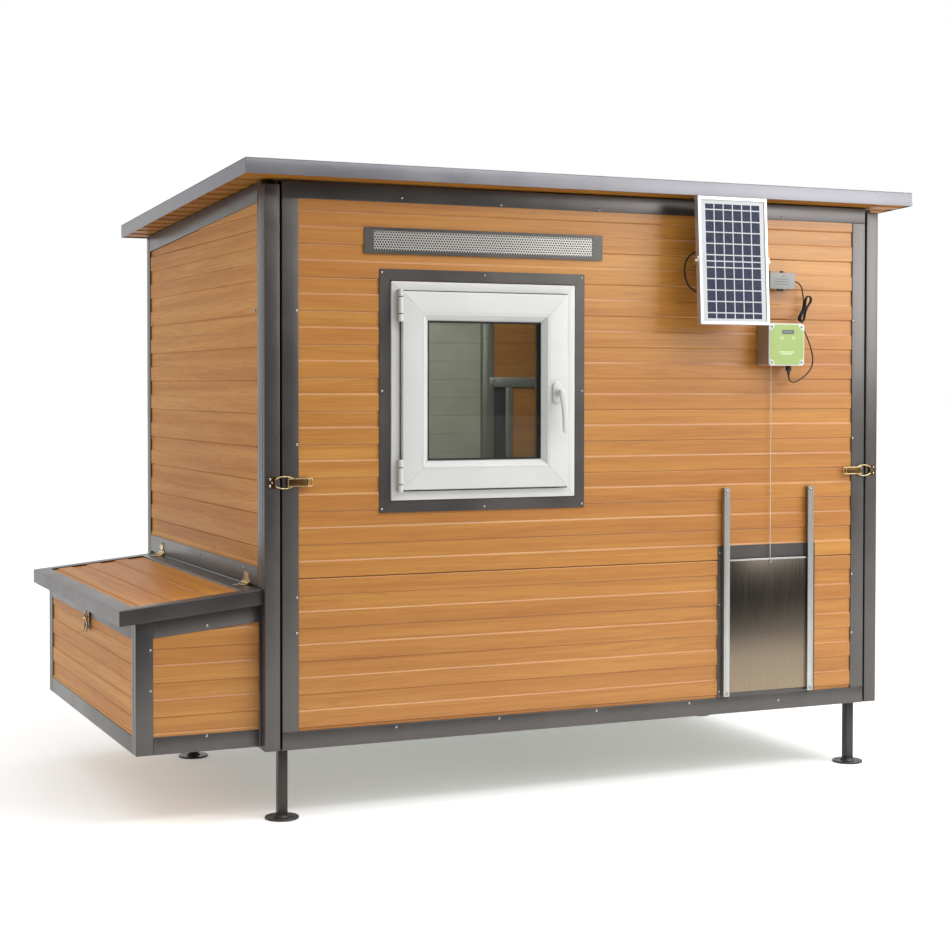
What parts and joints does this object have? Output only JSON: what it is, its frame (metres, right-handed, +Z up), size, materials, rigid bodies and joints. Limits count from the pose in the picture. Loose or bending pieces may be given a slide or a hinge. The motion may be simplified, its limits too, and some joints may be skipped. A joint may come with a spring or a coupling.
{
  "type": "chicken coop",
  "caption": "Raised chicken coop of wood-look panels with a side nest box, window, vent, solar-powered sliding pop door and a latched removable front wall.",
  "frame": {"origin": "On the ground, under the middle of the whole object's box without its cables.", "axes": "+X to the right along the front wall, +Y to the back, +Z up. The nest box is at -X and the pop door faces -Y."},
  "size_m": [2.3604, 1.4082, 1.7115],
  "materials": {
    "oak_siding": "satin wood-grain foil over ribbed sheet, golden oak, horizontal ribs",
    "anthracite": "satin powder coat, anthracite grey",
    "leg_steel": "satin powder coat, dark bronze grey",
    "inner_skin": "pale grey-green coil coating on the inner sheet",
    "timber": "planed softwood, unfinished",
    "bronze_hardware": "bright nickel-bronze plating, stamped",
    "white_pvc": "smooth white window PVC",
    "glass": "clear double glazing, faint green",
    "aluminium": "mill-finish aluminium, fine vertical brushing",
    "white_cord": "white braided nylon cord",
    "opener_housing": "matt grey-brown moulded plastic",
    "opener_label": "white moulded cover with a plain light green face",
    "controller_case": "matt grey moulded case with a black base",
    "black_cable": "soft black PVC cable sheath",
    "black_plastic": "moulded black nylon",
    "white_frame": "white-silver anodised aluminium frame",
    "solar_cells": "glass-covered blue-grey silicon cells on a white back sheet"
  },
  "bodies": {
    "coop": {"base_frame": "anthracite", "leg_front_left": "leg_steel", "leg_front_right": "leg_steel", "leg_rear_left": "leg_steel", "leg_rear_right": "leg_steel", "floor_panel": "inner_skin", "corner_post_left": "anthracite", "corner_post_right": "anthracite", "left_wall_frame": "anthracite", "left_wall_panel": "oak_siding", "right_wall_frame": "anthracite", "right_wall_panel": "oak_siding", "rear_wall_frame": "anthracite", "rear_wall_panel": "oak_siding", "roof_fascia": "anthracite", "roof_panel": "oak_siding", "perch_bar": "timber", "nest_access_board": "timber", "nest_floor": "timber", "nest_frame": "anthracite", "nest_side_panel": "oak_siding", "nest_front_panel": "oak_siding", "nest_rear_panel": "oak_siding", "lid_hinge_front": "bronze_hardware", "lid_hinge_rear": "bronze_hardware"},
    "front_wall": {"front_profile_frame": "anthracite", "front_siding_panel": "oak_siding", "window_trim": "anthracite", "window_frame": "white_pvc", "window_hinge_lower": "white_pvc", "window_hinge_upper": "white_pvc", "vent_grille": "anthracite", "pop_door_trim": "anthracite", "guide_rail_left": "aluminium", "guide_rail_right": "aluminium", "lift_cord": "white_cord", "opener_base": "opener_housing", "opener_cover": "opener_label", "charge_controller": "controller_case", "solar_bracket": "aluminium", "solar_cable": "black_cable", "charge_cable_upper": "black_cable", "cable_hank": "black_cable", "charge_cable_lower": "black_cable", "cable_plug": "black_cable"},
    "nest_lid": {"lid_frame": "anthracite", "lid_panel": "oak_siding"},
    "nest_lever": {"nest_latch_lever": "bronze_hardware"},
    "nest_bail": {"nest_latch_bail": "bronze_hardware"},
    "sash": {"window_sash": "white_pvc", "window_glass": "glass"},
    "sash_handle": {"window_handle": "white_pvc"},
    "door_leaf": {"pop_door": "aluminium"},
    "winch": {"winch_spool": "black_plastic"},
    "solar_panel": {"solar_frame": "white_frame", "solar_laminate": "solar_cells"},
    "left_lever": {"left_latch_lever": "bronze_hardware"},
    "left_bail": {"left_latch_bail": "bronze_hardware"},
    "right_lever": {"right_latch_lever": "bronze_hardware"},
    "right_bail": {"right_latch_bail": "bronze_hardware"}
  },
  "joints": [
    {"name": "front_wall_slide", "type": "slide", "parent": "coop", "child": "front_wall", "axis": [0, -1, 0], "range_m": [0, 0.25]},
    {"name": "nest_lid_hinge", "type": "hinge", "parent": "coop", "child": "nest_lid", "pos_m": [-0.8078, 0.00823, 0.6125], "axis": [0, 1, 0], "range_deg": [0, 85]},
    {"name": "nest_latch_turn", "type": "hinge", "parent": "coop", "child": "nest_lever", "pos_m": [-1.1408, -0.00177, 0.498], "axis": [0, 1, 0], "range_deg": [0, 100]},
    {"name": "nest_bail_turn", "type": "hinge", "parent": "nest_lever", "child": "nest_bail", "pos_m": [-1.1408, -0.00177, 0.48], "axis": [0, 1, 0], "range_deg": [-161, 0]},
    {"name": "sash_turn", "type": "hinge", "parent": "front_wall", "child": "sash", "pos_m": [-0.4378, -0.60527, 1.12275], "axis": [0, 0, -1], "range_deg": [0, 95]},
    {"name": "handle_turn", "type": "hinge", "parent": "sash", "child": "sash_handle", "pos_m": [0.0237, -0.61327, 1.118], "axis": [0, 1, 0], "range_deg": [0, 90]},
    {"name": "pop_door_lift", "type": "slide", "parent": "front_wall", "child": "door_leaf", "axis": [0, 0, 1], "range_m": [0, 0.36], "deforming": ["lift_cord"]},
    {"name": "winch_turn", "type": "hinge", "parent": "front_wall", "child": "winch", "pos_m": [0.7442, -0.59027, 1.256], "axis": [0, 1, 0], "range_deg": [0, 1300]},
    {"name": "solar_tilt", "type": "hinge", "parent": "front_wall", "child": "solar_panel", "pos_m": [0.5362, -0.68477, 1.488], "axis": [-1, 0, 0], "range_deg": [-2.5, 20]},
    {"name": "left_latch_turn", "type": "hinge", "parent": "front_wall", "child": "left_lever", "pos_m": [-0.7448, -0.58977, 0.885], "axis": [0, 0, -1], "range_deg": [0, 110]},
    {"name": "left_bail_turn", "type": "hinge", "parent": "left_lever", "child": "left_bail", "pos_m": [-0.7288, -0.58977, 0.885], "axis": [0, 0, -1], "range_deg": [-127, 0]},
    {"name": "right_latch_turn", "type": "hinge", "parent": "front_wall", "child": "right_lever", "pos_m": [1.0482, -0.58977, 0.885], "axis": [0, 0, 1], "range_deg": [0, 110]},
    {"name": "right_bail_turn", "type": "hinge", "parent": "right_lever", "child": "right_bail", "pos_m": [1.0322, -0.58977, 0.885], "axis": [0, 0, 1], "range_deg": [-127, 0]}
  ],
  "couplings": [
    {"joint": "winch_turn", "follows": "pop_door_lift", "rad_per_m": 62.5},
    {"joint": "nest_bail_turn", "follows": "nest_latch_turn", "ratio": -1.6},
    {"joint": "left_bail_turn", "follows": "left_latch_turn", "ratio": -1.15},
    {"joint": "right_bail_turn", "follows": "right_latch_turn", "ratio": -1.15}
  ]
}
